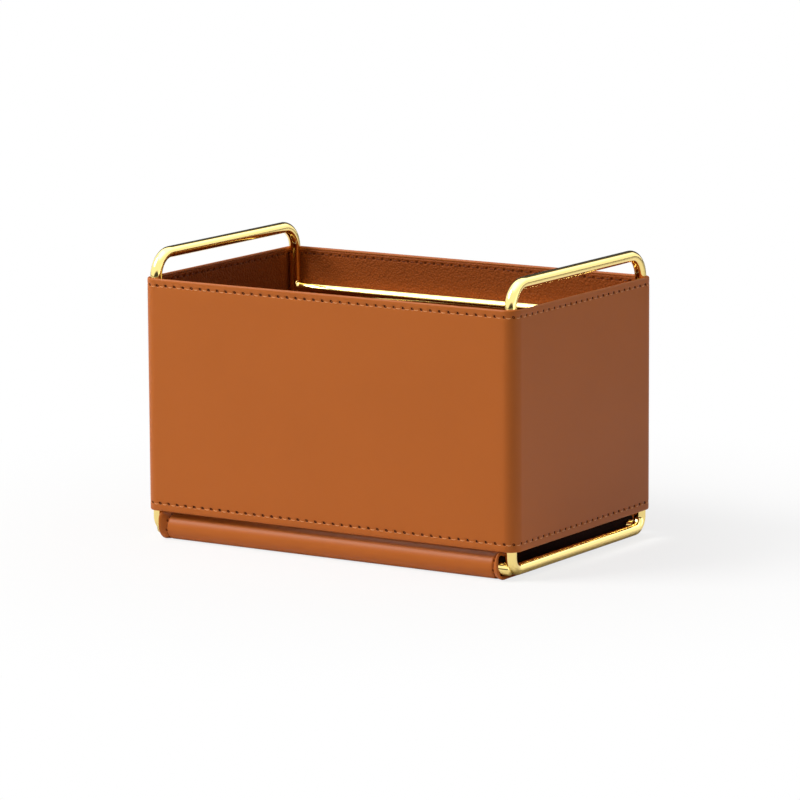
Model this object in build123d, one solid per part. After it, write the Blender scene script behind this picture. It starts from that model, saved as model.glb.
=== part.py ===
from build123d import *
import math
import os

# Leather basket on a welded frame of bent rod, in millimetres.
# Origin at the middle of the underside, X along the length, Y to the rear, Z up.

# Overall sizes, over the leather and up to the handles
LENGTH = 185.0
DEPTH = 115.0
HEIGHT = 125.0

# Rod frame
ROD_D = 5.0
HANDLE_RISE = 12.1
HANDLE_BEND_R = 10.0
FOOT_BEND_R = 5.5
RING_UNDERSIDE = 1.6
UPPER_RAIL_DROP = 18.1
LOWER_RAIL_OUTSET = 1.75
WELD_GAP = 0.03
WELD_SIZE = 1.1
BEAD_SETBACK = 0.5

# Wall band
WALL_LIFT = 1.4
WALL_SKIN_T = 0.5
WALL_BOARD_T = 0.6
WALL_LINING_T = 0.4
HEM_RETURN = 1.2
EDGE_ROUND = 0.3
BOARD_END_GAP = 0.5

# Base sling
SLING_HEIGHT = 11.0
SLING_END_GAP = 0.65
SLING_T = 1.4
ROLL_PADDING_T = 1.05
RAIL_BED_T = 0.55
CREASE_INSET = 3.2
CREASE_WIDTH = 0.9
CREASE_DEPTH = 0.3
CORE_RECESS = 2.0
FLOOR_LINING_T = 0.45
FLOOR_LINING_MARGIN = 1.5
FLOOR_LINING_CORNER_R = 3.0

# Clearances
GLUE_GAP = 0.05
LEG_GAP = 0.25
BORE_GAP = 0.1

# Sizes that follow from them
rod_r = ROD_D / 2
roll_r = SLING_HEIGHT / 2
wall_bottom = SLING_HEIGHT + WALL_LIFT
wall_top = HEIGHT - HANDLE_RISE
wall_height = wall_top - wall_bottom
edge_cut = min(EDGE_ROUND, 0.6 * WALL_SKIN_T)
lining_outer_offset = WALL_SKIN_T + GLUE_GAP + WALL_BOARD_T + GLUE_GAP
wall_t = lining_outer_offset + WALL_LINING_T
leg_inset = wall_t + LEG_GAP + rod_r
ring_x = LENGTH / 2 - leg_inset
leg_y = DEPTH / 2 - leg_inset
ring_bottom_z = RING_UNDERSIDE + rod_r
ring_top_z = HEIGHT - rod_r
upper_rail_z = wall_top - UPPER_RAIL_DROP
lining_corner_r = rod_r + LEG_GAP
sling_length = 2 * (ring_x - rod_r - SLING_END_GAP)

# A lower rail lies low in the base's rolled edge, and is coped to the outside of a foot bend.
lower_rail_z = SLING_T + GLUE_GAP + RAIL_BED_T + BORE_GAP + rod_r
foot_bend_above = max(ring_bottom_z + FOOT_BEND_R - lower_rail_z, 0)
foot_weld_r = FOOT_BEND_R + LOWER_RAIL_OUTSET
lower_rail_y = leg_y - FOOT_BEND_R + math.sqrt(foot_weld_r**2 - foot_bend_above**2)
roll_y = lower_rail_y + rod_r + ROLL_PADDING_T + SLING_T - roll_r

# The skin's bend just clears the lining's on the diagonal, where there is no board.
lining_back_r = lining_corner_r + WALL_LINING_T
diagonal_slack = leg_inset * math.sqrt(2) - lining_back_r - GLUE_GAP - WALL_SKIN_T
skin_corner_r = diagonal_slack / (math.sqrt(2) - 1)


def save(shape, name):
    """Write one node's solids to its own file."""
    export_step(shape, os.path.join("parts", name + ".step"))


def ring(x, rod_radius):
    """A closed upright loop of round rod: wide bends under the hand, tight ones at the feet."""
    path = FilletPolyline(
        (x, 0, ring_bottom_z),
        (x, leg_y, ring_bottom_z),
        (x, leg_y, ring_top_z),
        (x, 0, ring_top_z),
        radius=(FOOT_BEND_R, HANDLE_BEND_R),
    )
    section = Plane(origin=path @ 0, z_dir=path % 0) * Circle(rod_radius)
    half = sweep(section, path=path)
    return half + mirror(half, about=Plane.XZ)


def weld_bead():
    """A weld bead round a rail's end at x = 0, hollow like a fillet in two cones."""
    waist = WELD_SIZE * (1 - math.sqrt(0.5))
    outline = Polyline(
        (-rod_r - WELD_SIZE, 0),
        (0, 0),
        (0, rod_r + WELD_SIZE),
        (-rod_r, rod_r + WELD_SIZE),
        (-rod_r - waist, rod_r + waist),
        (-rod_r - WELD_SIZE, rod_r),
        close=True,
    )
    return revolve(Plane.XZ * make_face(outline), axis=Axis.X)


def coped(rail, copes):
    """A rail from ring to ring, with its ends cut to the rings' round rod."""
    return max((rail - copes).solids(), key=lambda solid: solid.volume)


def plain_rod(y, z):
    """A straight rod along X, up to the middle of both rings."""
    return Pos(0, y, z) * Rot(0, 90, 0) * Cylinder(rod_r, 2 * ring_x)


def upper_rail(y, copes):
    """A rod from leg to leg, with a bead at each end that is dressed flat on the band's side."""
    dressed_y = -math.copysign(ROD_D + BEAD_SETBACK - rod_r, y)
    dressed = Pos(0, dressed_y, 0) * Box(4 * ROD_D, 2 * ROD_D, 4 * ROD_D)
    right_bead = Pos(ring_x, y, upper_rail_z) * (weld_bead() & dressed)
    beaded = plain_rod(y, upper_rail_z) + right_bead + mirror(right_bead, about=Plane.YZ)
    return coped(beaded, copes)


def lower_rail(y, copes):
    """A rod between the rings' foot bends, inside the rolled edge of the base."""
    return coped(plain_rod(y, lower_rail_z), copes)


def band_contour(offset, corner_r):
    """The band's outline in plan, this far in from its outer face."""
    return RectangleRounded(LENGTH - 2 * offset, DEPTH - 2 * offset, corner_r)


def band_layer(outer, inner, bottom, top):
    """A closed band between two outlines, from one height to another."""
    return extrude(Plane.XY.offset(bottom) * (outer - inner), amount=top - bottom)


def wall_layers():
    """The outer skin with its turned edges, and the lining between those edges."""
    skin_face = band_contour(0, skin_corner_r)
    skin_back = band_contour(WALL_SKIN_T, skin_corner_r - WALL_SKIN_T)
    lining_back = band_contour(lining_outer_offset, lining_back_r)
    lining_face = band_contour(wall_t, lining_corner_r)

    skin = band_layer(skin_face, skin_back, wall_bottom, wall_top)
    skin += band_layer(skin_face, lining_face, wall_bottom, wall_bottom + WALL_SKIN_T)
    skin += band_layer(skin_face, lining_face, wall_top - WALL_SKIN_T, wall_top)
    skin += band_layer(lining_back, lining_face, wall_bottom, wall_bottom + HEM_RETURN)
    skin += band_layer(lining_back, lining_face, wall_top - HEM_RETURN, wall_top)
    for height in (wall_bottom, wall_top):
        rims = [edge for edge in skin.edges() if abs(edge.center().Z - height) < GLUE_GAP]
        skin = chamfer(rims, edge_cut)

    lining_bottom = wall_bottom + HEM_RETURN + GLUE_GAP
    lining_top = wall_top - HEM_RETURN - GLUE_GAP
    lining = band_layer(lining_back, lining_face, lining_bottom, lining_top)
    return skin, lining


def wall_board(span, across, turn):
    """A flat stiffener behind one wall, between the corner bends, turned about Z to its side."""
    width = span - 2 * (skin_corner_r + BOARD_END_GAP)
    height = wall_height - 2 * (WALL_SKIN_T + GLUE_GAP)
    centre_y = -(across / 2 - WALL_SKIN_T - GLUE_GAP - WALL_BOARD_T / 2)
    middle_z = wall_bottom + wall_height / 2
    return Rot(0, 0, turn) * Pos(0, centre_y, middle_z) * Box(width, WALL_BOARD_T, height)


def sling_loop(radius, length):
    """A solid flat loop round both lower rails, with half-round front and rear edges."""
    outline = Pos(0, roll_r) * SlotCenterToCenter(2 * roll_y, 2 * radius)
    return extrude(Plane.YZ * outline, amount=length / 2, both=True)


def base_skin():
    """The sleeve of the sling, with a stitched crease pressed in near each open end."""
    inside = sling_loop(roll_r - SLING_T, sling_length)
    sleeve = sling_loop(roll_r, sling_length) - inside
    crease = sling_loop(roll_r, CREASE_WIDTH) - sling_loop(roll_r - CREASE_DEPTH, CREASE_WIDTH)
    crease_x = sling_length / 2 - CREASE_INSET
    for x in (-crease_x, crease_x):
        sleeve -= Pos(x, 0, 0) * crease
    return sleeve


def base_core():
    """The pad inside the sleeve, short of its open ends, with a bore round each lower rail."""
    length = sling_length - 2 * CORE_RECESS
    core = sling_loop(roll_r - SLING_T - GLUE_GAP, length)
    for y in (-lower_rail_y, lower_rail_y):
        core -= Pos(0, y, lower_rail_z) * Rot(0, 90, 0) * Cylinder(rod_r + BORE_GAP, length)
    return core


def floor_lining():
    """The lining sheet on the floor of the basket, on the flat of the sleeve."""
    width = sling_length - 2 * FLOOR_LINING_MARGIN
    depth = 2 * (roll_y - FLOOR_LINING_MARGIN)
    sheet = RectangleRounded(width, depth, FLOOR_LINING_CORNER_R)
    return extrude(Plane.XY.offset(SLING_HEIGHT + GLUE_GAP) * sheet, amount=FLOOR_LINING_T)


os.makedirs("parts", exist_ok=True)

right_ring = ring(ring_x, rod_r)
save(right_ring, "right_end_ring")
save(mirror(right_ring, about=Plane.YZ), "left_end_ring")

right_cope = ring(ring_x, rod_r + WELD_GAP)
ring_copes = right_cope + mirror(right_cope, about=Plane.YZ)
for side, sign in (("front", -1), ("rear", 1)):
    save(upper_rail(sign * leg_y, ring_copes), "upper_" + side + "_rail")
    save(lower_rail(sign * lower_rail_y, ring_copes), "lower_" + side + "_rail")

outer_skin, lining = wall_layers()
save(outer_skin, "wall_outer_skin")
save(lining, "wall_lining")
for side, span, across, turn in (
    ("front", LENGTH, DEPTH, 0),
    ("right", DEPTH, LENGTH, 90),
    ("rear", LENGTH, DEPTH, 180),
    ("left", DEPTH, LENGTH, 270),
):
    save(wall_board(span, across, turn), "wall_board_" + side)

save(base_skin(), "base_outer_skin")
save(base_core(), "base_core")
save(floor_lining(), "base_lining")
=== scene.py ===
import functools
import math

import bmesh
import bpy
from bmesh.types import BMEdge, BMVert
from bpy.props import FloatProperty, FloatVectorProperty, IntProperty, PointerProperty
from bpy.types import Operator, Panel, PropertyGroup
from mathutils import Matrix, Vector


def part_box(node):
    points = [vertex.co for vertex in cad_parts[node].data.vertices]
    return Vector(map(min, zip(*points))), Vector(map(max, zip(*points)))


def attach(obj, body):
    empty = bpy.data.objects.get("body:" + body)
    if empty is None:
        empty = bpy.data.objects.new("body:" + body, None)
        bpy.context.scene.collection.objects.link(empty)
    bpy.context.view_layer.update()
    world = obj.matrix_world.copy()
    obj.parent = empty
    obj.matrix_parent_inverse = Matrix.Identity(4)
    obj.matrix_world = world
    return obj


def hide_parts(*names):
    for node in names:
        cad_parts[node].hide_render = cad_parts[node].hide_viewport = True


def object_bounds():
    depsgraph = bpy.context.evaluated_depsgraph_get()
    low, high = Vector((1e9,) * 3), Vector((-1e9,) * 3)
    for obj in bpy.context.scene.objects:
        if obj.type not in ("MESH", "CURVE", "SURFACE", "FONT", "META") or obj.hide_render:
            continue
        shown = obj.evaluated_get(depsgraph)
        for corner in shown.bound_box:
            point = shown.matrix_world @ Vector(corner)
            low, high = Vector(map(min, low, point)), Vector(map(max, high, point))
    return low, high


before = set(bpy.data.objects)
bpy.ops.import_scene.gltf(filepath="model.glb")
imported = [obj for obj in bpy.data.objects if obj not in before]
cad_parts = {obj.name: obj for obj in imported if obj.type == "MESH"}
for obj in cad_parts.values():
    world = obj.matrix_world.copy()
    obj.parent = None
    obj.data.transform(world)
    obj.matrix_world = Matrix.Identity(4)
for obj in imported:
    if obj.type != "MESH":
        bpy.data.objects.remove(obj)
CAD_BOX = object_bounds()

bl_info = {
    "name": "Leather Rod Basket",
    "version": (1, 0, 0),
    "blender": (4, 5, 0),
    "location": "3D View > Sidebar > Basket",
    "description": "Dresses the frame of a leather basket with stitched leather, polished rod and a studio",
    "category": "Object",
}

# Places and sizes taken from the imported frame, in metres
SKIN_LOW, SKIN_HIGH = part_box("wall_outer_skin")
LINING_LOW, LINING_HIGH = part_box("wall_lining")
RING_LOW, RING_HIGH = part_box("right_end_ring")
UPPER_RAIL_LOW, UPPER_RAIL_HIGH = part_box("upper_rear_rail")
LOWER_RAIL_LOW, LOWER_RAIL_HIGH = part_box("lower_rear_rail")
SLEEVE_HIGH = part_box("base_outer_skin")[1]
CORE_LOW, CORE_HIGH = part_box("base_core")
FLOOR_LINING_LOW, FLOOR_LINING_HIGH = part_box("base_lining")

MM = 0.001
HALF_SPANS = (SKIN_HIGH.x, SKIN_HIGH.y)
WALL_BOTTOM = SKIN_LOW.z
WALL_TOP = SKIN_HIGH.z
ROD_R = (RING_HIGH.x - RING_LOW.x) / 2
RING_X = (RING_HIGH.x + RING_LOW.x) / 2
LEG_Y = RING_HIGH.y - ROD_R
RING_BOTTOM_Z = RING_LOW.z + ROD_R
RING_TOP_Z = RING_HIGH.z - ROD_R
UPPER_RAIL_Z = (UPPER_RAIL_LOW.z + UPPER_RAIL_HIGH.z) / 2
LOWER_RAIL_Y = (LOWER_RAIL_LOW.y + LOWER_RAIL_HIGH.y) / 2
LOWER_RAIL_Z = (LOWER_RAIL_LOW.z + LOWER_RAIL_HIGH.z) / 2
ROLL_R = SLEEVE_HIGH.z / 2
ROLL_Y = SLEEVE_HIGH.y - ROLL_R
ROLL_FRONT = ROLL_Y + ROLL_R
SLEEVE_TOP = 2 * ROLL_R
SLEEVE_END = SLEEVE_HIGH.x
BOARDS = ["wall_board_front", "wall_board_rear", "wall_board_left", "wall_board_right"]

# Details that the frame's boxes don't tell, as built in the frame
GLUE_GAP = 0.05 * MM
BORE_GAP = 0.1 * MM
LEG_GAP = 0.25 * MM
SKIN_T = 0.5 * MM
LINING_T = 0.4 * MM
SLEEVE_T = 1.4 * MM
HANDLE_BEND_R = 10.0 * MM
FOOT_BEND_R = 5.5 * MM
FLOOR_LINING_CORNER_R = 3.0 * MM
WALL_T = SKIN_HIGH.y - RING_HIGH.y - LEG_GAP
LINING_BEND_R = ROD_R + LEG_GAP

# The outer face bends round the legs so that skin and lining just meet on the diagonal.
DIAGONAL = (WALL_T + LINING_BEND_R) * math.sqrt(2)
BAND_BEND_R = (DIAGONAL - LINING_BEND_R - LINING_T - SKIN_T - GLUE_GAP) / (math.sqrt(2) - 1)
BEND_SIGNS = ((-1, -1), (1, -1), (1, 1), (-1, 1))
BAND_LENGTH = 4 * sum(half - BAND_BEND_R for half in HALF_SPANS) + 2 * math.pi * BAND_BEND_R
SLEEVE_LENGTH_ROUND = 4 * ROLL_Y + 2 * math.pi * ROLL_R

# The sleeve's rolled edges, against the frame's: drawn in a little along their run
RUN_SETBACK = 0.7 * MM
RUN_WAIST_DROP = 0.3 * MM

# The same edges where they flare at the sleeve's open ends, with the length that the flare takes
FLARE_REACH = 1.0654 * MM
FLARE_WAIST_RISE = 1.4 * MM
FLARE_FOOT_REACH = 0.2654 * MM
FLARE_CROWN_REACH = 2.5654 * MM
FLARE_CROWN_RISE = 1.1 * MM
FLARE_START = 3.1 * MM
FLARE_LENGTH = 2.7 * MM

# How square a rolled edge is above its waist, where 2 is round
RUN_SQUARENESS = 2
FLARE_SQUARENESS = 3.5

# How far behind its crown a rolled edge has come down to the sleeve's flat top
CROWN_SLOPE = 3.5 * MM

# Steps of the meshes
SECTION_STEPS = 2400
QUARTER_STEPS = 120
SLOPE_STEPS = 20
BEND_STEPS = 20
WALL_ROWS = 12
SLEEVE_ROWS = 16
CORE_SIDES = 64

# Columns of a leather mesh beside a hole's middle and on to the next hole, and its rows beside a line
COLUMNS_FROM_HOLE = [step * MM for step in (-0.92, -0.62, -0.31, 0, 0.31, 0.62, 0.92, 1.6, 2.2, 2.8)]
ROWS_FROM_LINE = [
    step * MM for step in (-1.6, -1.0, -0.72, -0.5, -0.3, -0.1, 0.1, 0.3, 0.5, 0.72, 1.0, 1.6)
]
LINE_CLEARANCE = 2 * MM
EDGE_CLEARANCE = 0.2 * MM

# A hole's depth falls off towards its edge with this power, and off the holes a reach is this large.
HOLE_STEEPNESS = 0.6
OFF_THE_HOLES = 9

# A face gets the painted hole shade where the reaches of its four corners add up to less than this.
HOLE_FACE_REACH = 3.2

# Holes and furrow of the lining as shares of its thickness, and the sleeve's holes as one of the wall's
LINING_HOLE_SHARE = 0.7
LINING_FURROW_SHARE = 0.1
SLEEVE_HOLE_SHARE = 0.2

# How deep the thread lies, as shares of the wall's furrow and of the sleeve's crease
FURROW_THREAD_SHARE = 0.5
CREASE_THREAD_SHARE = 0.9

# The share of a hole's length by which a stitch is shorter than the pitch, the share of its sag that
# is gone at its ends, and how deep those dive
HOLE_SHARE = 0.9
SAG_LOSS = 0.7
END_DIVE = 0.4 * MM

# Rows of the sleeve's inside, from its open end inwards
INNER_ROWS = [inset * MM for inset in (0.7, 1.4, 2.2, 3.1, 20, 55)]

# How far an upper rail's weld goes on into the ring, and the rails' ends inside it, flat on the upper
# rails and rounded on the lower ones, as places past the ring's middle with shares of the rod's radius
WELD_SINK = 0.4 * MM
FLAT_END = ((0, 0.9), (0, 0))
ROUNDED_END = ((-0.3 * MM, 1), (-0.1 * MM, 0.8), (0.1 * MM, 0.45), (0.2 * MM, 0))

# Points closer than this are joined, when doubles are merged and when a half meets its mirror image.
DOUBLES_GAP = 0.002 * MM
MIRROR_GAP = 0.01 * MM

# Softboxes, in metres and watts: name, place, target, width and height, and power
LAMPS = (
    ("key_softbox", (-1.2, -1.2, 1.75), (0, 0, 0.05), (1.1, 1.1), 55.5),
    ("top_softbox", (0, -0.1, 1.2), (0, 0, 0), (1.2, 0.8), 3),
    ("low_reflector", (0.62, 0.12, 0.09), (0, 0, 0.06), (0.6, 0.14), 0.36),
)

# A fade runs from its first limit to its second, and from its third value to its fourth.
RANGE_SOCKETS = ("From Min", "From Max", "To Min", "To Max")

# The floor's white by the distance from the basket in metres, the same for what metal mirrors of it,
# and that again by the distance in half spans of the basket
WHITE_FADE = (0.08, 0.3, 0.78, 1.0)
MIRRORED_FADE = (0.3, 0.6, 1.0, 0.0)
OUTLINE_FADE = (1.0, 1.12, 0.0, 1.0)
FLOOR_R = 12

# What polished metal mirrors: a bright ceiling, a dark card behind and a dark card low in front, each
# with its direction and its fade by the dot product with it
STUDIO_ZONES = (
    ((0, 0.34, 0.94), (0.55, 0.85, 1.3, 2.6)),
    ((-0.427, 0.864, 0.254), (0.9, 0.79, 0.04, 1.0)),
    ((0.54, -0.84, -0.9), (0.8, 0.6, 0.05, 1.0)),
)
SOFT_LIGHT = 0.08
WHITE = (1, 1, 1, 1)

# The camera's sensor in millimetres, and how far it sees in metres
SENSOR_WIDTH = 36
SIGHT = 100


# Settings


def rgb(hex_colour):
    """An sRGB hex colour as linear red, green and blue."""
    channels = [int(hex_colour[i : i + 2], 16) / 255 for i in (1, 3, 5)]
    return [c / 12.92 if c <= 0.04045 else ((c + 0.055) / 1.055) ** 2.4 for c in channels]


def colour(name, description, hex_colour):
    """A colour setting."""
    return FloatVectorProperty(
        name=name, description=description, default=rgb(hex_colour), subtype="COLOR", min=0, max=1
    )


def length(name, description, millimetres):
    """A size setting, given in millimetres and kept in metres."""
    return FloatProperty(name=name, description=description, default=millimetres * MM, unit="LENGTH")


def angle(name, description, degrees):
    """An angle setting, given in degrees and kept in radians."""
    default = math.radians(degrees)
    return FloatProperty(name=name, description=description, default=default, subtype="ANGLE")


def fraction(name, description, default):
    """A setting from 0 to 1."""
    return FloatProperty(
        name=name, description=description, default=default, subtype="FACTOR", min=0, max=1
    )


class BasketStitching(PropertyGroup):
    """Sizes of the stitch rows."""

    pitch: length("Pitch", "Distance from one stitch to the next", 4.4)
    phase: fraction("Phase", "Share of a pitch that the row starts in", 0.49)
    top_inset: length("Top inset", "Distance of the upper row below the wall's rim", 2.9)
    bottom_inset: length("Bottom inset", "Distance of the lower row above the wall's bottom", 3.5)
    crease_inset: length("Crease inset", "Distance of the sleeve's row from its open end", 3.2)
    hole_length: length("Hole length", "Length of a needle hole along the row", 1.9)
    hole_height: length("Hole height", "Height of a needle hole", 1.2)
    hole_depth: length("Hole depth", "How deep a hole is pressed in", 0.45)
    slant: angle("Slant", "Turn of a hole from the row", 25.7831)
    furrow_depth: length("Furrow depth", "How deep the thread pulls the leather in along the row", 0.09)
    furrow_width: length("Furrow width", "Half width of that furrow", 0.7)
    crease_depth: length("Crease depth", "How deep the sleeve's row is pulled in", 0.5)
    crease_width: length("Crease width", "Half width of that crease", 0.42)
    thread_diameter: length("Thread diameter", "Thickness of the sewing thread", 0.38)
    thread_sag: length("Thread sag", "How far a stitch hangs below its holes", 0.5)


class BasketLeather(PropertyGroup):
    """Colours of the leather."""

    tan: colour("Tan", "Colour of the smooth outer leather", "#B25F22")
    lining: colour("Lining", "Colour of the grained lining", "#994B18")
    thread: colour("Thread", "Colour of the sewing thread", "#D4925C")
    # The bobbin colour is thread darkened as painted shade: the dark groove of the sleeve's creases and the
    # shaded slots of the inner stitches.
    bobbin: colour("Bobbin thread", "Colour of the thread inside and in the sleeve's creases", "#6A3014")
    # The hole colour is painted shade: a near-black laid on the holes' core faces for the shade deep in
    # each needle hole.
    hole: colour("Hole", "Colour of the raw leather inside the needle holes", "#2C1006")
    # The shallow hole colour is painted shade, a softer dark brown for the shade in the lining's and the
    # sleeve's holes.
    shallow_hole_shade: colour("Shallow hole", "Colour in the lining's and the sleeve's holes", "#6A3212")
    roughness: fraction("Roughness", "Of the outer leather", 0.42)


class BasketRod(PropertyGroup):
    """Finish and fineness of the rod frame."""

    gold: colour("Gold", "Colour of the polished plating", "#F3D98A")
    roughness: fraction("Roughness", "Of the polished plating", 0.1)
    sides: IntProperty(name="Sides", description="Facets round a rod", default=40, min=12)
    weld_size: length("Weld size", "How far an upper rail's weld stands out from it", 1.1)


class BasketStage(PropertyGroup):
    """Camera and studio."""

    azimuth: angle("Azimuth", "Camera's turn about Z", 32.56)
    elevation: angle("Elevation", "Camera's height angle", 9.853)
    roll: angle("Roll", "Camera's turn about its own axis", -0.321)
    distance: length("Distance", "From the camera to its aim", 2104.4)
    aim_x: length("Aim X", "Where the camera aims along the basket", 0.652)
    aim_z: length("Aim Z", "Height at which the camera aims", 59.711)
    lens: FloatProperty(
        name="Lens", description="Focal length on a 36 mm sensor", default=221.94, unit="CAMERA"
    )
    floor: colour("Floor", "Colour of the studio floor", "#F0EFED")


# Meshes


def finish_mesh(name, mesh_data, materials):
    """Turn a bmesh into a smooth-shaded object at the origin that rides on the basket."""
    bmesh.ops.remove_doubles(mesh_data, verts=mesh_data.verts, dist=DOUBLES_GAP)
    bmesh.ops.recalc_face_normals(mesh_data, faces=mesh_data.faces)
    mesh = bpy.data.meshes.new(name)
    mesh_data.to_mesh(mesh)
    mesh_data.free()
    mesh.shade_smooth()
    piece = bpy.data.objects.new(name, mesh)
    bpy.context.scene.collection.objects.link(piece)
    for material in materials:
        mesh.materials.append(material)
    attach(piece, "root")
    return piece


def stretch(node):
    """Hide the frame's node that a stretched leather piece now stands in for."""
    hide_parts(node)


def only(kind, geometry):
    """The items of one kind among the results of a bmesh operator."""
    return [item for item in geometry if isinstance(item, kind)]


def pull_out(mesh_data, move):
    """Pull a flat outline out into a solid, from where it lies and as far as the move."""
    grown = bmesh.ops.extrude_face_region(mesh_data, geom=mesh_data.faces[:])["geom"]
    bmesh.ops.translate(mesh_data, verts=only(BMVert, grown), vec=move)


def add_mirror_half(mesh_data):
    """Add the other half of a piece, on the far side of the basket's middle plane."""
    geometry = mesh_data.verts[:] + mesh_data.edges[:] + mesh_data.faces[:]
    bmesh.ops.mirror(mesh_data, geom=geometry, axis="Y", merge_dist=MIRROR_GAP)


def bend_centre(index, inset, radius):
    """Middle of one of the band's four bends, anticlockwise from the front left."""
    signs = BEND_SIGNS[index % 4]
    return Vector([sign * (half - inset - radius) for sign, half in zip(signs, HALF_SPANS)])


@functools.lru_cache(maxsize=None)
def outline_point(distance, inset, radius):
    """A point of the outline that lies inset behind the band's outer face, this far round that face."""
    for side in range(4):
        run = 2 * (HALF_SPANS[side % 2] - BAND_BEND_R)
        facing = math.radians(270 + 90 * side)
        start = bend_centre(side, inset, radius)
        end = bend_centre(side + 1, inset, radius)
        if distance <= run:
            out = Vector((math.cos(facing), math.sin(facing)))
            return start.lerp(end, distance / run) + out * radius
        distance -= run
        turn = min(distance / BAND_BEND_R, math.pi / 2)
        if distance <= BAND_BEND_R * math.pi / 2:
            out = Vector((math.cos(facing + turn), math.sin(facing + turn)))
            return end + out * radius
        distance -= BAND_BEND_R * math.pi / 2
    return outline_point(0, inset, radius)


def on_band(distance, depth, height):
    """A point of the wall band: this far round it, behind its outer face and above the floor."""
    outer = outline_point(distance % BAND_LENGTH, 0, BAND_BEND_R)
    inner = outline_point(distance % BAND_LENGTH, WALL_T, LINING_BEND_R)
    return outer.lerp(inner, depth / WALL_T).to_3d() + Vector((0, 0, height))


def evenly_spaced(points, steps):
    """A line of (y, z) points cut into equal steps, each with the unit normal on its right."""
    runs = [0.0]
    for near, far in zip(points, points[1:]):
        runs.append(runs[-1] + math.dist(near, far))
    spaced = []
    segment = 1
    for step in range(steps + 1):
        run = runs[-1] * step / steps
        while segment < len(runs) - 1 and runs[segment] < run:
            segment += 1
        (y1, z1), (y2, z2) = points[segment - 1], points[segment]
        gap = runs[segment] - runs[segment - 1]
        share = (run - runs[segment - 1]) / gap
        spaced.append((y1 + (y2 - y1) * share, z1 + (z2 - z1) * share, (z2 - z1) / gap, (y1 - y2) / gap))
    return spaced


@functools.lru_cache(maxsize=None)
def half_section(front, waist, foot, crown, top, squareness):
    """The front half of the sleeve's section, from the middle of its underside round to that of its top.

    The rolled edge leaves the floor at its foot, reaches furthest forward at the waist's height, and
    swells up to a crown before it comes down to the flat top.
    """
    turns = [math.pi / 2 * step / QUARTER_STEPS for step in range(QUARTER_STEPS + 1)]
    under = [(-foot - (front - foot) * math.sin(a), waist - waist * math.cos(a)) for a in turns]
    over = [
        (
            -crown - (front - crown) * math.cos(a) ** (2 / squareness),
            waist + (top - waist) * math.sin(a) ** (2 / squareness),
        )
        for a in turns[1:]
    ]
    shares = [step / SLOPE_STEPS for step in range(1, SLOPE_STEPS + 1)]
    down = [
        (
            -crown + CROWN_SLOPE * share,
            SLEEVE_TOP + (top - SLEEVE_TOP) * (1 + math.cos(math.pi * share)) / 2,
        )
        for share in shares
    ]
    return evenly_spaced([(0, 0), *under, *over, *down, (0, SLEEVE_TOP)], SECTION_STEPS)


def on_sleeve(distance, depth, x):
    """A point of the base's sleeve: this far round it, behind its outer face and along X."""
    run = half_section(
        ROLL_FRONT - RUN_SETBACK,
        ROLL_R - RUN_WAIST_DROP,
        ROLL_Y - RUN_SETBACK,
        ROLL_Y - RUN_SETBACK,
        SLEEVE_TOP,
        RUN_SQUARENESS,
    )
    flared = half_section(
        ROLL_FRONT + FLARE_REACH,
        ROLL_R + FLARE_WAIST_RISE,
        ROLL_Y + FLARE_FOOT_REACH,
        ROLL_Y + FLARE_CROWN_REACH,
        SLEEVE_TOP + FLARE_CROWN_RISE,
        FLARE_SQUARENESS,
    )
    share = distance / SLEEVE_LENGTH_ROUND % 1 * 2
    side = 1 if share <= 1 else -1
    step = round(min(share, 2 - share) * SECTION_STEPS)
    flare = min(max((abs(x) - SLEEVE_END + FLARE_START) / FLARE_LENGTH, 0), 1)
    flare *= flare * (3 - 2 * flare)
    y, z, inward_y, inward_z = [a + (b - a) * flare for a, b in zip(run[step], flared[step])]
    return Vector((x, side * (y + inward_y * depth), z + inward_z * depth))


def wall_lines(stitching):
    """Heights of the wall's two stitch lines."""
    return (WALL_BOTTOM + stitching.bottom_inset, WALL_TOP - stitching.top_inset)


def hole_reach(stitching, along, across):
    """How far a place is from the nearest needle hole's middle, where 1 is the hole's edge."""
    turned_along = along * math.cos(stitching.slant) - across * math.sin(stitching.slant)
    turned_across = along * math.sin(stitching.slant) + across * math.cos(stitching.slant)
    return math.hypot(2 * turned_along / stitching.hole_length, 2 * turned_across / stitching.hole_height)


def stitched_strip(name, section, seam, stitching, press, materials):
    """A closed strip of leather that is cut as a flat grid, pressed at its holes, wrapped and joined.

    section lists the strip's edge loop as (depth, across, side), where side says which way holes press.
    seam is the stitch lines, the function that puts a point in place and the length once round.
    press is the depth of the holes and the depth and half width of the furrow along each line.
    """
    lines, place, around = seam
    count = round(around / stitching.pitch)
    pitch = around / count
    columns = [
        ((hole + stitching.phase) * pitch + from_hole, from_hole)
        for hole in range(count)
        for from_hole in COLUMNS_FROM_HOLE
    ]
    hole_depth, furrow_depth, furrow_width = press
    strip = bmesh.new()
    along_steps, across_steps = len(columns), len(section)
    bmesh.ops.create_grid(strip, x_segments=along_steps, y_segments=across_steps, size=0.5)
    reaches = []
    for vert in strip.verts:
        distance, from_hole = columns[round((vert.co.x + 0.5) * along_steps) % along_steps]
        depth, across, side = section[round((vert.co.y + 0.5) * across_steps) % across_steps]
        reach = OFF_THE_HOLES
        if side:
            from_line = min((across - line for line in lines), key=abs)
            reach = hole_reach(stitching, from_hole, from_line)
            pressed = hole_depth * max(0, 1 - reach**2) ** HOLE_STEEPNESS
            pressed += furrow_depth * math.exp(-((from_line / furrow_width) ** 2))
            depth += side * pressed
        reaches.append(reach)
        vert.co = place(distance, depth, across)
    strip.verts.index_update()
    # Faces at a hole's core get the second material, a colour of painted shade for the hole's depth.
    for face in strip.faces:
        if sum(reaches[vert.index] for vert in face.verts) < HOLE_FACE_REACH:
            face.material_index = 1
    return finish_mesh(name, strip, materials)


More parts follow.
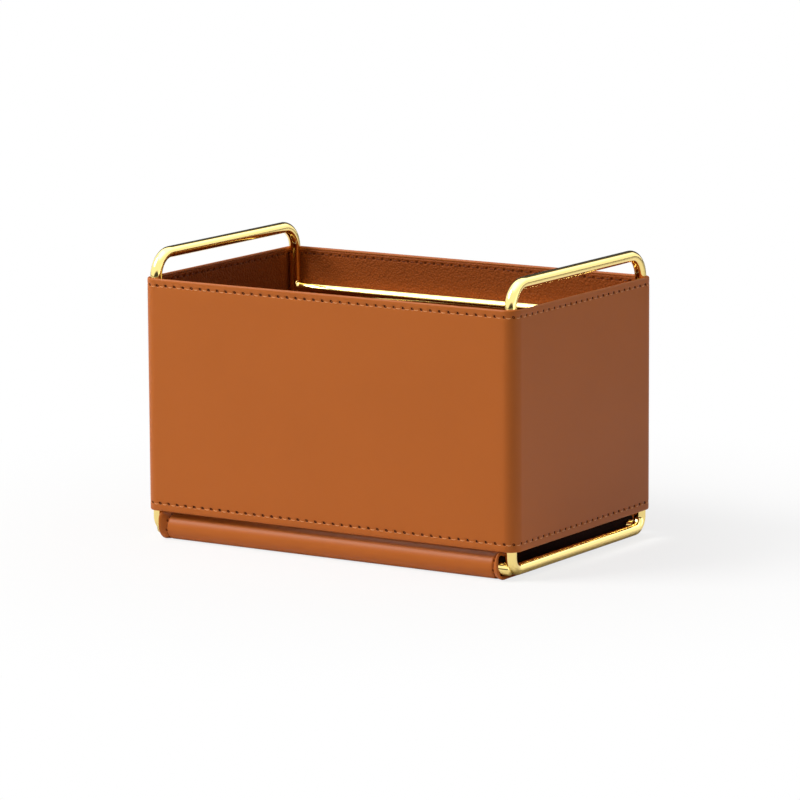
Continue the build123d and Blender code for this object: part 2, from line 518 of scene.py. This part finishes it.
def near_lines(low, high, lines, plain_steps):
    """Places from low to high, dense beside each stitch line."""
    dense = [line + offset for line in lines for offset in ROWS_FROM_LINE]
    spare = [low + (high - low) * step / plain_steps for step in range(plain_steps + 1)]
    clear = [place for place in spare if all(abs(place - line) > LINE_CLEARANCE for line in lines)]
    inside = [place for place in dense if low + EDGE_CLEARANCE < place < high - EDGE_CLEARANCE]
    return sorted({low, high, *clear, *inside})


def round_edge(across, radius, steps=8):
    """A strip's half-round edge beyond this place across it, from the outer face over to the back."""
    angles = [math.pi * step / steps for step in range(1, steps)]
    return [(radius - radius * math.cos(a), across + radius * math.sin(a), 0) for a in angles]


def other_edge(edge, middle):
    """The edge on a strip's far side: this one in reverse, mirrored across the strip's middle."""
    return [(depth, 2 * middle - across, side) for depth, across, side in reversed(edge)]


def stitches(name, seam, stitching, seat, side, sag, material):
    """A row of tight thread along each line, each stitch a plump strand whose ends dive into holes.

    seat is the thread's depth behind the outer face, and side says which way the stitches' ends dive.
    """
    lines, place, around = seam
    count = round(around / stitching.pitch)
    pitch = around / count
    rows = bmesh.new()
    radius = stitching.thread_diameter / 2
    half = (pitch - HOLE_SHARE * stitching.hole_length) / 2
    for line in lines:
        for stitch in range(count):
            middle = (stitch + stitching.phase + 0.5) * pitch
            strand = bmesh.ops.create_uvsphere(rows, u_segments=6, v_segments=8, radius=1)
            for vert in strand["verts"]:
                along = vert.co.z
                lift = vert.co.y * radius - sag * (1 - SAG_LOSS * along**2)
                dive = END_DIVE * along**4
                depth = seat + side * (dive - vert.co.x * radius)
                vert.co = place(middle + along * half, depth, line + lift)
    return finish_mesh(name, rows, [material])


# Materials


def add_node(tree, kind, settings=None, links=None):
    """Add a shader node, set its inputs or properties, and link other nodes' outputs to its inputs."""
    node = tree.nodes.new("ShaderNode" + kind)
    for key, value in (settings or {}).items():
        if isinstance(key, int) or key in node.inputs:
            node.inputs[key].default_value = value
        else:
            setattr(node, key, value)
    for key, source in (links or {}).items():
        tree.links.new(source, node.inputs[key])
    return node


def new_material(name):
    """A material, its tree and the Object coordinates in it, which are the only node so far."""
    material = bpy.data.materials.new(name)
    material.use_nodes = True
    tree = material.node_tree
    tree.nodes.clear()
    return material, tree, add_node(tree, "TexCoord").outputs["Object"]


def per_metre(millimetres):
    """A texture scale whose features are about this wide."""
    return 1 / (millimetres * MM)


def rgba(linear, factor=1.0):
    """A linear colour with its alpha, darker or lighter by a factor."""
    return (*[min(1, c * factor) for c in linear], 1.0)


def smooth_leather(settings):
    """Coated split leather, rolled smooth: one even tan with a soft sheen and hardly any grain."""
    material, tree, coord = new_material("coated_smooth_leather")
    cloud = add_node(
        tree, "TexNoise", {"Scale": per_metre(45), "Detail": 2.0, "Roughness": 0.5}, {"Vector": coord}
    )
    tone = add_node(
        tree,
        "Mix",
        {"data_type": "RGBA", 6: rgba(settings.tan, 0.96), 7: rgba(settings.tan, 1.04)},
        {0: cloud.outputs["Fac"]},
    )
    pores = add_node(
        tree,
        "TexVoronoi",
        {"feature": "SMOOTH_F1", "Scale": per_metre(0.55), "Smoothness": 0.6, "Randomness": 1.0},
        {"Vector": coord},
    )
    drawn = add_node(
        tree, "TexNoise", {"Scale": per_metre(6), "Detail": 3.0, "Roughness": 0.55}, {"Vector": coord}
    )
    wave = add_node(
        tree, "Bump", {"Strength": 0.15, "Distance": 0.1 * MM}, {"Height": drawn.outputs["Fac"]}
    )
    grain = add_node(
        tree,
        "Bump",
        {"Strength": 0.12, "Distance": 0.04 * MM},
        {"Height": pores.outputs["Distance"], "Normal": wave.outputs["Normal"]},
    )
    shader = add_node(
        tree,
        "BsdfPrincipled",
        {"Roughness": settings.roughness, "IOR": 1.46, "Specular IOR Level": 0.2},
        {"Base Color": tone.outputs[2], "Normal": grain.outputs["Normal"]},
    )
    add_node(tree, "OutputMaterial", None, {"Surface": shader.outputs["BSDF"]})
    return material


def pebbled_leather(settings):
    """Embossed lining leather: small rounded pebbles between fine wrinkles, duller than the outside."""
    material, tree, coord = new_material("embossed_lining_leather")
    # The noise bends the rows of pebbles by up to 1.2 mm.
    bent = add_node(tree, "TexNoise", {"Scale": per_metre(4), "Detail": 2.0}, {"Vector": coord})
    warped = add_node(
        tree, "Mix", {"data_type": "VECTOR", 0: 1.2 * MM}, {4: coord, 5: bent.outputs["Color"]}
    )
    pebbles = add_node(
        tree,
        "TexVoronoi",
        {"feature": "SMOOTH_F1", "Scale": per_metre(0.95), "Smoothness": 0.35},
        {"Vector": warped.outputs[1]},
    )
    cloud = add_node(
        tree, "TexNoise", {"Scale": per_metre(3), "Detail": 4.0, "Roughness": 0.6}, {"Vector": coord}
    )
    # Painted shade in the grain: the lining is lighter on each pebble's top and darker in the hollows
    # between.
    tone = add_node(
        tree,
        "Mix",
        {"data_type": "RGBA", 6: rgba(settings.lining, 1.08), 7: rgba(settings.lining, 0.82)},
        {0: pebbles.outputs["Distance"]},
    )
    wrinkles = add_node(
        tree, "Bump", {"Strength": 0.5, "Distance": 0.3 * MM}, {"Height": cloud.outputs["Fac"]}
    )
    grain = add_node(
        tree,
        "Bump",
        {"Strength": 0.85, "Distance": 0.3 * MM, "invert": True},
        {"Height": pebbles.outputs["Distance"], "Normal": wrinkles.outputs["Normal"]},
    )
    shader = add_node(
        tree,
        "BsdfPrincipled",
        {"Roughness": 0.62, "IOR": 1.46, "Specular IOR Level": 0.16},
        {"Base Color": tone.outputs[2], "Normal": grain.outputs["Normal"]},
    )
    add_node(tree, "OutputMaterial", None, {"Surface": shader.outputs["BSDF"]})
    return material


def sewing_thread(name, thread_colour):
    """Bonded polyester thread: three plies laid round each other, with a dull shine."""
    material, tree, coord = new_material(name)
    plies = add_node(
        tree,
        "TexWave",
        {"wave_type": "BANDS", "bands_direction": "DIAGONAL", "Scale": per_metre(0.9), "Distortion": 0.4},
        {"Vector": coord},
    )
    twist = add_node(
        tree, "Bump", {"Strength": 0.5, "Distance": 0.06 * MM}, {"Height": plies.outputs["Fac"]}
    )
    shader = add_node(
        tree,
        "BsdfPrincipled",
        {"Base Color": rgba(thread_colour), "Roughness": 0.5, "IOR": 1.5, "Specular IOR Level": 0.2},
        {"Normal": twist.outputs["Normal"]},
    )
    add_node(tree, "OutputMaterial", None, {"Surface": shader.outputs["BSDF"]})
    return material


def hole_shade(name, hole_shade_colour):
    """Painted shade inside a needle hole: a dark colour that hardly shines, for the shade deep in the hole.
    """
    material, tree = new_material(name)[:2]
    shader = add_node(
        tree,
        "BsdfPrincipled",
        {"Base Color": rgba(hole_shade_colour), "Roughness": 0.95, "IOR": 1.45, "Specular IOR Level": 0.1},
    )
    add_node(tree, "OutputMaterial", None, {"Surface": shader.outputs["BSDF"]})
    return material


def polished_gold(settings):
    """Gold plating on polished steel rod: a mirror with faint drawing lines and tiny dulled patches."""
    material, tree, coord = new_material("polished_gold_plating")
    haze = add_node(
        tree, "TexNoise", {"Scale": per_metre(9), "Detail": 3.0, "Roughness": 0.6}, {"Vector": coord}
    )
    dulled = add_node(
        tree,
        "MapRange",
        {"To Min": settings.roughness * 0.7, "To Max": settings.roughness * 1.4},
        {"Value": haze.outputs["Fac"]},
    )
    ripple = add_node(
        tree, "Bump", {"Strength": 0.06, "Distance": 0.08 * MM}, {"Height": haze.outputs["Fac"]}
    )
    shader = add_node(
        tree,
        "BsdfPrincipled",
        {"Base Color": rgba(settings.gold), "Metallic": 1.0},
        {"Roughness": dulled.outputs["Result"], "Normal": ripple.outputs["Normal"]},
    )
    add_node(tree, "OutputMaterial", None, {"Surface": shader.outputs["BSDF"]})
    return material


def black_foam_end_shade():
    """Closed-cell polyethylene foam, cut with a blade: matte black with small open cells; its reddish tone
    is painted shade.
    """
    material, tree, coord = new_material("black_foam_painted_end_shade")
    cells = add_node(tree, "TexVoronoi", {"feature": "F1", "Scale": per_metre(0.7)}, {"Vector": coord})
    pits = add_node(
        tree, "Bump", {"Strength": 0.8, "Distance": 0.2 * MM}, {"Height": cells.outputs["Distance"]}
    )
    # The reddish near-black is partly the foam's black and partly painted shade of the sleeve's open ends;
    # each cell's pit is darker as painted shade.
    tone = add_node(
        tree,
        "Mix",
        {"data_type": "RGBA", 6: rgba(rgb("#140604")), 7: rgba(rgb("#200A06"))},
        {0: cells.outputs["Distance"]},
    )
    shader = add_node(
        tree,
        "BsdfPrincipled",
        {"Roughness": 0.9, "IOR": 1.45, "Specular IOR Level": 0.1},
        {"Base Color": tone.outputs[2], "Normal": pits.outputs["Normal"]},
    )
    add_node(tree, "OutputMaterial", None, {"Surface": shader.outputs["BSDF"]})
    return material


def grey_board():
    """Pressed waste-paper board: flecked grey with a dry, fibrous face."""
    material, tree, coord = new_material("pressed_grey_board")
    flecks = add_node(
        tree, "TexNoise", {"Scale": per_metre(1.5), "Detail": 6.0, "Roughness": 0.7}, {"Vector": coord}
    )
    tone = add_node(
        tree,
        "Mix",
        {"data_type": "RGBA", 6: rgba(rgb("#7E7970")), 7: rgba(rgb("#A39D92"))},
        {0: flecks.outputs["Fac"]},
    )
    fibres = add_node(
        tree, "Bump", {"Strength": 0.3, "Distance": 0.05 * MM}, {"Height": flecks.outputs["Fac"]}
    )
    shader = add_node(
        tree,
        "BsdfPrincipled",
        {"Roughness": 0.85, "IOR": 1.5},
        {"Base Color": tone.outputs[2], "Normal": fibres.outputs["Normal"]},
    )
    add_node(tree, "OutputMaterial", None, {"Surface": shader.outputs["BSDF"]})
    return material


def shared(name, maker, *settings):
    """A material by its name, made the first time it is asked for."""
    return bpy.data.materials.get(name) or maker(*settings)


def outer_leather(leather):
    """The smooth leather of the walls' outside and the base's sleeve."""
    return shared("coated_smooth_leather", smooth_leather, leather)


def lining_leather(leather):
    """The grained leather of the walls' inside and the floor."""
    return shared("embossed_lining_leather", pebbled_leather, leather)


def needle_thread(leather):
    """The pale thread on the walls' outside."""
    return shared("bonded_needle_thread", sewing_thread, "bonded_needle_thread", leather.thread)


def bobbin_thread_painted_shade(leather):
    """The thread on the walls' inside and in the sleeve's creases, darkened as painted shade of the crease
    and stitch slots.
    """
    return shared("bonded_bobbin_thread", sewing_thread, "bonded_bobbin_thread", leather.bobbin)


def deep_hole_shade(leather):
    """Painted shade deep in the holes of the walls' outside, nearly black."""
    return shared("raw_leather_fibre", hole_shade, "raw_leather_fibre", leather.hole)


def shallow_hole_shade(leather):
    """Painted shade in the shallow holes of the lining and the sleeve, a softer dark brown."""
    return shared("raw_leather_flesh", hole_shade, "raw_leather_flesh", leather.shallow_hole_shade)


def rod_gold(rod):
    """The polished plating of the whole frame."""
    return shared("polished_gold_plating", polished_gold, rod)


# Operators


class BASKET_OT_wall_skin(Operator):
    """Wrap the smooth outer leather round the legs, over the rim and under the bottom edge"""

    bl_idname = "basket.wall_skin"
    bl_label = "Wall Skin"

    def execute(self, context):
        stitching = context.scene.basket_stitching
        leather = context.scene.basket_leather
        lines = wall_lines(stitching)
        seam = (lines, on_band, BAND_LENGTH)
        round_r = WALL_T / 2
        hem = LINING_LOW.z - WALL_BOTTOM - GLUE_GAP
        hem_depth = WALL_T - LINING_T
        outside = near_lines(WALL_BOTTOM + round_r, WALL_TOP - round_r, lines, WALL_ROWS)
        rim = round_edge(WALL_TOP - round_r, round_r)
        rim += [
            (WALL_T, WALL_TOP - round_r, 0),
            (WALL_T, WALL_TOP - hem, 0),
            (hem_depth, WALL_TOP - hem, 0),
            (hem_depth, WALL_TOP - SKIN_T, 0),
            (SKIN_T, WALL_TOP - SKIN_T, 0),
        ]
        section = [(0, z, 1) for z in outside] + rim + other_edge(rim, (WALL_BOTTOM + WALL_TOP) / 2)
        press = (stitching.hole_depth, stitching.furrow_depth, stitching.furrow_width)
        materials = [outer_leather(leather), deep_hole_shade(leather)]
        piece = stitched_strip("leather_wall_skin", section, seam, stitching, press, materials)
        seat = FURROW_THREAD_SHARE * stitching.furrow_depth
        thread = needle_thread(leather)
        threads = stitches("wall_outer_threads", seam, stitching, seat, 1, stitching.thread_sag, thread)
        stretch("wall_outer_skin")
        return {"FINISHED"}


class BASKET_OT_wall_lining(Operator):
    """Line the walls with grained leather, sewn through at the same holes"""

    bl_idname = "basket.wall_lining"
    bl_label = "Wall Lining"

    def execute(self, context):
        stitching = context.scene.basket_stitching
        leather = context.scene.basket_leather
        lines = wall_lines(stitching)
        seam = (lines, on_band, BAND_LENGTH)
        low, high = LINING_LOW.z, LINING_HIGH.z
        heights = near_lines(low, high, lines, WALL_ROWS)
        inside = [(WALL_T, z, -1 if low < z < high else 0) for z in heights]
        back = [(WALL_T - LINING_T, z, 0) for z in (high, low)]
        section = inside + back
        furrow_depth = LINING_FURROW_SHARE * LINING_T
        press = (LINING_HOLE_SHARE * LINING_T, furrow_depth, stitching.furrow_width)
        materials = [lining_leather(leather), shallow_hole_shade(leather)]
        piece = stitched_strip("leather_wall_lining", section, seam, stitching, press, materials)
        seat = WALL_T - furrow_depth
        thread = bobbin_thread_painted_shade(leather)
        threads = stitches("wall_inner_threads", seam, stitching, seat, -1, 0, thread)
        stretch("wall_lining")
        return {"FINISHED"}


class BASKET_OT_base_sleeve(Operator):
    """Pull the base's leather sleeve over both lower rails, with a stitched crease near each open end"""

    bl_idname = "basket.base_sleeve"
    bl_label = "Base Sleeve"

    def execute(self, context):
        stitching = context.scene.basket_stitching
        leather = context.scene.basket_leather
        crease_x = SLEEVE_END - stitching.crease_inset
        lines = (-crease_x, crease_x)
        seam = (lines, on_sleeve, SLEEVE_LENGTH_ROUND)
        round_r = SLEEVE_T / 2
        outside = near_lines(round_r - SLEEVE_END, SLEEVE_END - round_r, lines, SLEEVE_ROWS)
        right_end = round_edge(SLEEVE_END - round_r, round_r)
        right_end += [(SLEEVE_T, SLEEVE_END - inset, 0) for inset in INNER_ROWS]
        section = [(0, x, 1) for x in outside] + right_end + other_edge(right_end, 0)
        hole_depth = SLEEVE_HOLE_SHARE * stitching.hole_depth
        press = (hole_depth, stitching.crease_depth, stitching.crease_width)
        materials = [outer_leather(leather), shallow_hole_shade(leather)]
        piece = stitched_strip("leather_base_sleeve", section, seam, stitching, press, materials)
        seat = CREASE_THREAD_SHARE * stitching.crease_depth
        thread = bobbin_thread_painted_shade(leather)
        threads = stitches("sleeve_threads", seam, stitching, seat, 1, 0, thread)
        stretch("base_outer_skin")
        return {"FINISHED"}


class BASKET_OT_base_core(Operator):
    """Fill the sleeve with its foam pad, bored for the two lower rails"""

    bl_idname = "basket.base_core"
    bl_label = "Base Core"

    def execute(self, context):
        pad_r = CORE_HIGH.z - ROLL_R
        pad = bmesh.new()
        bore = bmesh.ops.create_circle(pad, segments=CORE_SIDES, radius=ROD_R + BORE_GAP)["verts"]
        bmesh.ops.translate(pad, verts=bore, vec=(ROLL_Y - LOWER_RAIL_Y, LOWER_RAIL_Z - ROLL_R, 0))
        rim = bmesh.ops.create_circle(pad, segments=CORE_SIDES, radius=pad_r)["verts"]
        # The half of the rim towards the pad's middle is drawn out to a rectangle with sharp corners.
        corner = math.atan2(pad_r, ROLL_Y)
        corner_width = math.radians(4)
        for vert in rim:
            bearing = math.atan2(vert.co.y, vert.co.x)
            if abs(bearing) < math.pi / 2:
                reach = ROLL_Y / math.cos(bearing)
                if reach * abs(math.sin(bearing)) > pad_r:
                    reach = pad_r / abs(math.sin(bearing))
                vert.co = vert.co.normalized() * reach
                if 0 < abs(abs(bearing) - corner) < corner_width:
                    vert.co = Vector((ROLL_Y, math.copysign(pad_r, bearing), 0))
        bmesh.ops.bridge_loops(pad, edges=pad.edges[:])
        for vert in pad.verts:
            vert.co = Vector((CORE_LOW.x, vert.co.x - ROLL_Y, vert.co.y + ROLL_R))
        add_mirror_half(pad)
        pull_out(pad, (CORE_HIGH.x - CORE_LOW.x, 0, 0))
        piece = finish_mesh("foam_base_core", pad, [shared("black_foam_painted_end_shade", black_foam_end_shade)])
        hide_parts("base_core")
        return {"FINISHED"}


class BASKET_OT_floor_lining(Operator):
    """Lay the grained lining sheet on the floor of the basket"""

    bl_idname = "basket.floor_lining"
    bl_label = "Floor Lining"

    def execute(self, context):
        low, high = FLOOR_LINING_LOW, FLOOR_LINING_HIGH
        width, depth = high.x - low.x, high.y - low.y
        sheet = bmesh.new()
        bmesh.ops.create_grid(sheet, x_segments=1, y_segments=1, size=0.5)
        bmesh.ops.scale(sheet, vec=(width, depth, 1), verts=sheet.verts)
        bmesh.ops.bevel(
            sheet,
            geom=sheet.verts[:],
            affect="VERTICES",
            offset=FLOOR_LINING_CORNER_R,
            segments=8,
            profile=0.5,
            material=-1,
        )
        pull_out(sheet, (0, 0, high.z - low.z))
        bmesh.ops.translate(sheet, verts=sheet.verts, vec=(0, 0, low.z))
        leather = context.scene.basket_leather
        piece = finish_mesh("leather_floor_lining", sheet, [lining_leather(leather)])
        piece.data.shade_flat()
        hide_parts("base_lining")
        return {"FINISHED"}


class BASKET_OT_end_rings(Operator):
    """Bend the two end rings from round rod: wide bends at the handle, tight ones at the feet"""

    bl_idname = "basket.end_rings"
    bl_label = "End Rings"

    def drawn_out(self, ring, end, run):
        """Draw the rod's open end out along a straight run, and return the new end."""
        grown = bmesh.ops.extrude_edge_only(ring, edges=end)["geom"]
        bmesh.ops.translate(ring, verts=only(BMVert, grown), vec=run)
        return [edge for edge in only(BMEdge, grown) if edge.is_boundary]

    def bent_half(self, ring, sides):
        """Half a ring, from the middle of its bottom run round to the middle of its top run."""
        circle = bmesh.ops.create_circle(ring, segments=sides, radius=ROD_R)["verts"]
        turn = Matrix.Translation((RING_X, 0, RING_BOTTOM_Z)) @ Matrix.Rotation(math.pi / 2, 4, "X")
        bmesh.ops.transform(ring, matrix=turn, verts=circle)
        end = ring.edges[:]
        leg_run = RING_TOP_Z - RING_BOTTOM_Z - HANDLE_BEND_R - FOOT_BEND_R
        for run, bend_r, axis_z in (
            ((0, LEG_Y - FOOT_BEND_R, 0), FOOT_BEND_R, RING_BOTTOM_Z + FOOT_BEND_R),
            ((0, 0, leg_run), HANDLE_BEND_R, RING_TOP_Z - HANDLE_BEND_R),
        ):
            end = self.drawn_out(ring, end, run)
            turned = bmesh.ops.spin(
                ring,
                geom=end,
                cent=(RING_X, LEG_Y - bend_r, axis_z),
                axis=(1, 0, 0),
                angle=math.pi / 2,
                steps=BEND_STEPS,
            )
            end = only(BMEdge, turned["geom_last"])
        self.drawn_out(ring, end, (0, HANDLE_BEND_R - LEG_Y, 0))

    def execute(self, context):
        rod = context.scene.basket_rod
        for side, sign in (("left", -1), ("right", 1)):
            ring = bmesh.new()
            self.bent_half(ring, rod.sides)
            add_mirror_half(ring)
            if sign < 0:
                bmesh.ops.scale(ring, vec=(-1, 1, 1), verts=ring.verts)
            piece = finish_mesh(side + "_rod_ring", ring, [rod_gold(rod)])
            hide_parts(side + "_end_ring")
        return {"FINISHED"}


class BASKET_OT_rails(Operator):
    """Turn the four straight rails, the upper two with a weld fillet at each end"""

    bl_idname = "basket.rails"
    bl_label = "Rails"

    def turned_rail(self, y, z, stations, sides):
        """A rod along X as a turned solid, from (x, radius) stations of its right half."""
        outline = [(-x, radius) for x, radius in reversed(stations)] + stations
        rail = bmesh.new()
        chain = [rail.verts.new((x, 0, radius)) for x, radius in outline]
        edges = [rail.edges.new(pair) for pair in zip(chain, chain[1:])]
        bmesh.ops.spin(
            rail,
            geom=chain + edges,
            cent=(0, 0, 0),
            axis=(1, 0, 0),
            angle=2 * math.pi,
            steps=sides,
            use_merge=True,
        )
        bmesh.ops.translate(rail, verts=rail.verts, vec=(0, y, z))
        return rail

    def fillet(self, end, size, steps=6):
        """Stations of a hollow fillet that grows from the rod's radius up to the end."""
        angles = [math.pi / 2 * step / steps for step in range(steps + 1)]
        return [(end - size + size * math.sin(a), ROD_R + size - size * math.cos(a)) for a in angles]

    def hidden_end(self, shape):
        """Stations of a rail's end inside the ring."""
        return [(RING_X + past, ROD_R * share) for past, share in shape]

    def add_rail(self, level, side, rail, rod):
        """Finish a rail as the piece that stands for its node."""
        name = level + "_" + side
        piece = finish_mesh(name + "_rod", rail, [rod_gold(rod)])
        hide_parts(name + "_rail")

    def execute(self, context):
        rod = context.scene.basket_rod
        weld_end = RING_X - ROD_R + WELD_SINK
        welded = self.fillet(weld_end, rod.weld_size) + self.hidden_end(FLAT_END)
        rounded = self.hidden_end(ROUNDED_END)
        for side, sign in (("front", -1), ("rear", 1)):
            rail_y = sign * LEG_Y
            rail = self.turned_rail(rail_y, UPPER_RAIL_Z, welded, rod.sides)
            # The welds are dressed flat at the front and the rear, level with the rod.
            for vert in rail.verts:
                vert.co.y = rail_y + max(-ROD_R, min(ROD_R, vert.co.y - rail_y))
            self.add_rail("upper", side, rail, rod)
            rail = self.turned_rail(sign * LOWER_RAIL_Y, LOWER_RAIL_Z, rounded, rod.sides)
            self.add_rail("lower", side, rail, rod)
        return {"FINISHED"}


class BASKET_OT_boards(Operator):
    """Give the hidden stiffening boards their finish"""

    bl_idname = "basket.boards"
    bl_label = "Boards"

    def execute(self, context):
        for name in BOARDS:
            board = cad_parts[name]
            board.data.materials.clear()
            board.data.materials.append(shared("pressed_grey_board", grey_board))
        return {"FINISHED"}


class BASKET_OT_stage(Operator):
    """Set up the pale floor, the soft studio light and the camera"""

    bl_idname = "basket.stage"
    bl_label = "Stage"

    def add_lamp(self, name, place, target, size, power):
        """A rectangular softbox at a place, turned to a target."""
        lamp = bpy.data.lights.new(name, "AREA")
        lamp.shape = "RECTANGLE"
        lamp.size, lamp.size_y = size
        lamp.energy = power
        holder = bpy.data.objects.new(name, lamp)
        holder.location = place
        holder.rotation_euler = (Vector(target) - Vector(place)).to_track_quat("-Z", "Y").to_euler()
        bpy.context.scene.collection.objects.link(holder)

    def add_floor(self, stage):
        """A wide pale floor that keeps the basket's shadow, and is otherwise plain white to the camera.

        Polished metal mirrors that white too, but only past the basket's outline and not far from it.
        """
        material, tree, coord = new_material("matte_studio_paper")
        away = add_node(tree, "VectorMath", {"operation": "LENGTH"}, {0: coord}).outputs["Value"]
        half_spans = (*CAD_BOX[1][:2], 1)
        spans = add_node(tree, "VectorMath", {"operation": "DIVIDE", 1: half_spans}, {0: coord})
        reach = add_node(tree, "VectorMath", {"operation": "ABSOLUTE"}, {0: spans.outputs[0]})
        sides = add_node(tree, "SeparateXYZ", None, {0: reach.outputs[0]}).outputs
        beyond = add_node(tree, "Math", {"operation": "MAXIMUM"}, {0: sides[0], 1: sides[1]}).outputs[0]
        white_share, near, clear = [
            add_node(
                tree,
                "MapRange",
                {"interpolation_type": "SMOOTHSTEP", **dict(zip(RANGE_SOCKETS, fade))},
                {"Value": value},
            ).outputs["Result"]
            for value, fade in ((away, WHITE_FADE), (away, MIRRORED_FADE), (beyond, OUTLINE_FADE))
        ]
        path = add_node(tree, "LightPath").outputs
        share = near
        for operation, value in (
            ("MULTIPLY", clear),
            ("MULTIPLY", path["Is Glossy Ray"]),
            ("MAXIMUM", path["Is Camera Ray"]),
            ("MULTIPLY", white_share),
        ):
            share = add_node(tree, "Math", {"operation": operation}, {0: share, 1: value}).outputs[0]
        matte = add_node(tree, "BsdfPrincipled", {"Base Color": rgba(stage.floor), "Roughness": 0.9})
        white = add_node(tree, "Emission", {"Color": WHITE, "Strength": 1.0})
        mixed = add_node(tree, "MixShader", None, {0: share, 1: matte.outputs[0], 2: white.outputs[0]})
        add_node(tree, "OutputMaterial", None, {"Surface": mixed.outputs[0]})
        plane = bmesh.new()
        bmesh.ops.create_circle(plane, cap_ends=True, segments=64, radius=FLOOR_R)
        mesh = bpy.data.meshes.new("studio_floor")
        plane.to_mesh(mesh)
        plane.free()
        mesh.materials.append(material)
        floor = bpy.data.objects.new("studio_floor", mesh)
        bpy.context.scene.collection.objects.link(floor)

    def add_world(self):
        """White to the camera, dim to matte surfaces, and to polished ones a studio with dark cards."""
        world = bpy.data.worlds.new("studio")
        bpy.context.scene.world = world
        world.use_nodes = True
        tree = world.node_tree
        tree.nodes.clear()
        direction = add_node(tree, "TexCoord").outputs["Generated"]
        shine = None
        for facing, fade in STUDIO_ZONES:
            towards = add_node(tree, "VectorMath", {"operation": "DOT_PRODUCT", 1: facing}, {0: direction})
            zone = add_node(
                tree,
                "MapRange",
                {"interpolation_type": "SMOOTHSTEP", **dict(zip(RANGE_SOCKETS, fade))},
                {"Value": towards.outputs["Value"]},
            ).outputs["Result"]
            if shine is not None:
                zone = add_node(tree, "Math", {"operation": "MULTIPLY"}, {0: shine, 1: zone}).outputs[0]
            shine = zone
        path = add_node(tree, "LightPath").outputs
        soft = add_node(tree, "Background", {"Color": WHITE, "Strength": SOFT_LIGHT}).outputs[0]
        studio = add_node(tree, "Background", {"Color": WHITE}, {"Strength": shine}).outputs[0]
        white = add_node(tree, "Background", {"Color": WHITE, "Strength": 1.0}).outputs[0]
        glossy = add_node(tree, "MixShader", None, {0: path["Is Glossy Ray"], 1: soft, 2: studio})
        seen = add_node(
            tree, "MixShader", None, {0: path["Is Camera Ray"], 1: glossy.outputs[0], 2: white}
        )
        add_node(tree, "OutputWorld", None, {"Surface": seen.outputs[0]})

    def add_camera(self, stage):
        """The camera, aimed at a point of the basket's middle plane."""
        camera = bpy.data.cameras.new("camera")
        camera.sensor_width = SENSOR_WIDTH
        camera.lens = stage.lens
        camera.clip_end = SIGHT
        holder = bpy.data.objects.new("camera", camera)
        level = math.cos(stage.elevation)
        back = Vector(
            (
                math.sin(stage.azimuth) * level,
                -math.cos(stage.azimuth) * level,
                math.sin(stage.elevation),
            )
        )
        holder.location = Vector((stage.aim_x, 0, stage.aim_z)) + back * stage.distance
        facing = (-back).to_track_quat("-Z", "Y").to_matrix()
        holder.rotation_euler = (facing @ Matrix.Rotation(stage.roll, 3, "Z")).to_euler()
        bpy.context.scene.collection.objects.link(holder)
        bpy.context.scene.camera = holder

    def execute(self, context):
        stage = context.scene.basket_stage
        context.scene.view_settings.view_transform = "Standard"
        self.add_floor(stage)
        self.add_world()
        for lamp in LAMPS:
            self.add_lamp(*lamp)
        self.add_camera(stage)
        return {"FINISHED"}


class BASKET_PT_panel(Panel):
    """Lists the basket's pieces and settings in the sidebar"""

    bl_label = "Leather Rod Basket"
    bl_idname = "BASKET_PT_panel"
    bl_space_type = "VIEW_3D"
    bl_region_type = "UI"
    bl_category = "Basket"

    def draw(self, context):
        for operator in OPERATORS:
            self.layout.operator(operator.bl_idname)
        for group in SETTINGS:
            box = self.layout.box()
            settings = getattr(context.scene, group)
            for name in settings.__annotations__:
                box.prop(settings, name)


SETTINGS = {
    "basket_stitching": BasketStitching,
    "basket_leather": BasketLeather,
    "basket_rod": BasketRod,
    "basket_stage": BasketStage,
}
OPERATORS = (
    BASKET_OT_end_rings,
    BASKET_OT_rails,
    BASKET_OT_wall_skin,
    BASKET_OT_wall_lining,
    BASKET_OT_boards,
    BASKET_OT_base_sleeve,
    BASKET_OT_base_core,
    BASKET_OT_floor_lining,
    BASKET_OT_stage,
)


def register():
    for name, group in SETTINGS.items():
        bpy.utils.register_class(group)
        setattr(bpy.types.Scene, name, PointerProperty(type=group))
    for cls in (*OPERATORS, BASKET_PT_panel):
        bpy.utils.register_class(cls)


def unregister():
    for cls in (BASKET_PT_panel, *reversed(OPERATORS)):
        bpy.utils.unregister_class(cls)
    for name, group in reversed(SETTINGS.items()):
        delattr(bpy.types.Scene, name)
        bpy.utils.unregister_class(group)


def main():
    register()
    for operator in OPERATORS:
        family, name = operator.bl_idname.split(".")
        getattr(getattr(bpy.ops, family), name)()


if __name__ == "__main__":
    main()
